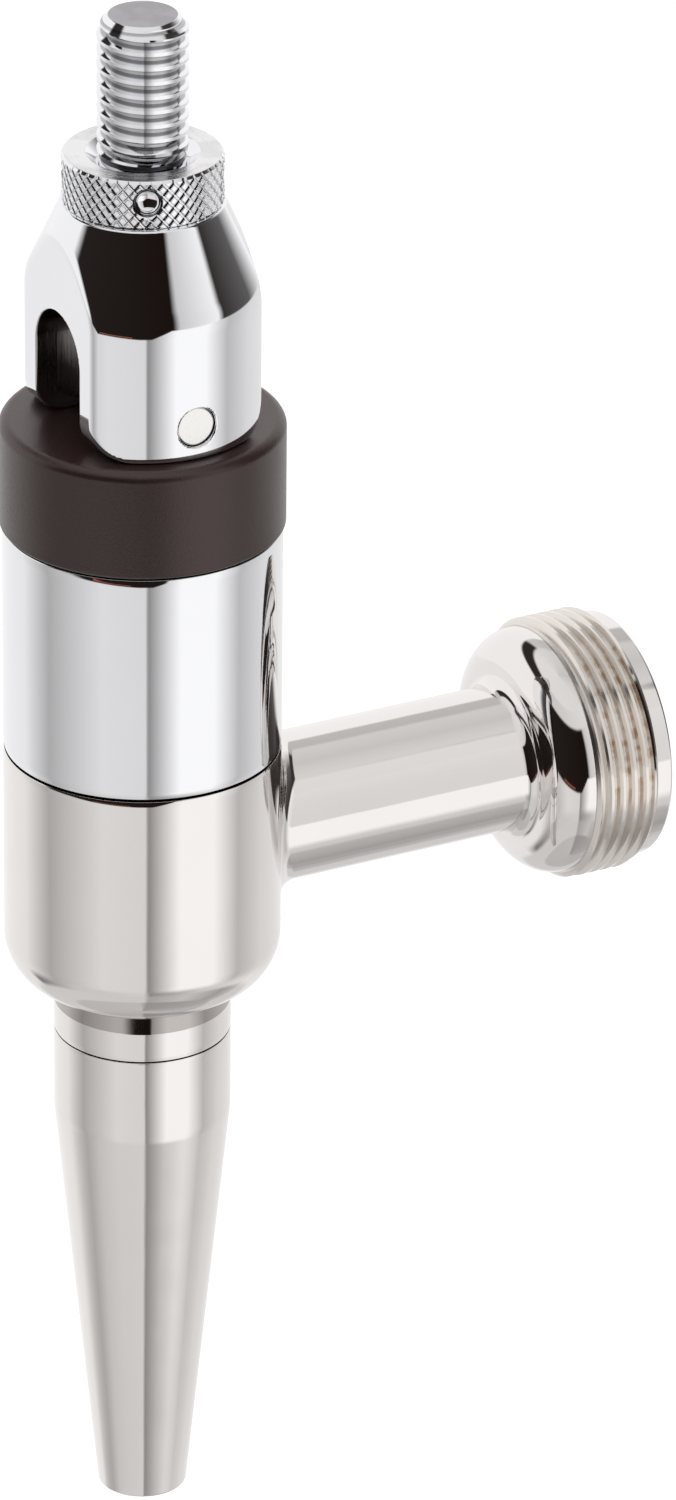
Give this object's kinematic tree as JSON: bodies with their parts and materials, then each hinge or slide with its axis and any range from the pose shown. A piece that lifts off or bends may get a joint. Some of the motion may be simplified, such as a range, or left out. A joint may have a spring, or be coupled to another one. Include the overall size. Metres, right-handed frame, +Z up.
{
  "type": "stout beer faucet",
  "caption": "Stout beer faucet: side inlet with threaded flange, cam-lever valve body, threaded handle stud with knurled lock ring, long tapered spout.",
  "frame": {"origin": "centre of the inlet flange's end face, on the inlet's axis", "axes": "+Z up along the valve's axis towards the handle stud, +Y along the inlet into the wall it is fixed to, +X along the lever's pivot pin"},
  "size_m": [0.03, 0.0719, 0.1718],
  "materials": {
    "stainless": "polished stainless steel",
    "chrome": "bright chrome plate",
    "knurled_chrome": "chrome plate over a diamond knurl",
    "pin_steel": "ground steel, plain ends",
    "black_plastic": "matte moulded plastic with a fine grain",
    "black_rubber": "smooth rubber",
    "spring_steel": "drawn stainless wire",
    "white_plastic": "natural acetal",
    "inner_steel": "turned stainless steel"
  },
  "bodies": {
    "faucet": {"valve_body": "stainless", "spout": "stainless", "spout_o_ring": "black_rubber", "restrictor_disc": "inner_steel", "flow_straightener": "white_plastic", "bonnet": "chrome", "bonnet_o_ring": "black_rubber", "guide_bush": "white_plastic", "spring_washer": "inner_steel", "return_spring": "spring_steel", "cam_cap": "black_plastic"},
    "valve_stem": {"stem": "inner_steel", "stem_o_ring": "black_rubber", "valve_seal": "black_rubber", "seal_washer": "inner_steel", "seal_screw": "inner_steel"},
    "lever": {"lever_fork": "chrome", "pivot_pin": "pin_steel", "handle_stud": "chrome"},
    "ring": {"lock_ring": "knurled_chrome"}
  },
  "joints": [
    {"name": "stem_lift", "type": "slide", "parent": "faucet", "child": "valve_stem", "axis": [0, 0, 1], "range_m": [0, 0.0042], "deforming": ["return_spring"]},
    {"name": "lever_tilt", "type": "hinge", "parent": "valve_stem", "child": "lever", "pos_m": [0, -0.0569, 0.0526], "axis": [1, 0, 0], "range_deg": [0, 35], "stiffness_Nm_per_rad": 0.015},
    {"name": "lock_ring_spin", "type": "hinge", "parent": "lever", "child": "ring", "pos_m": [0, -0.0569, 0.076], "axis": [0, 0, 1], "continuous": true}
  ],
  "couplings": [
    {"joint": "stem_lift", "follows": "lever_tilt", "m_per_rad": 0.00655}
  ]
}
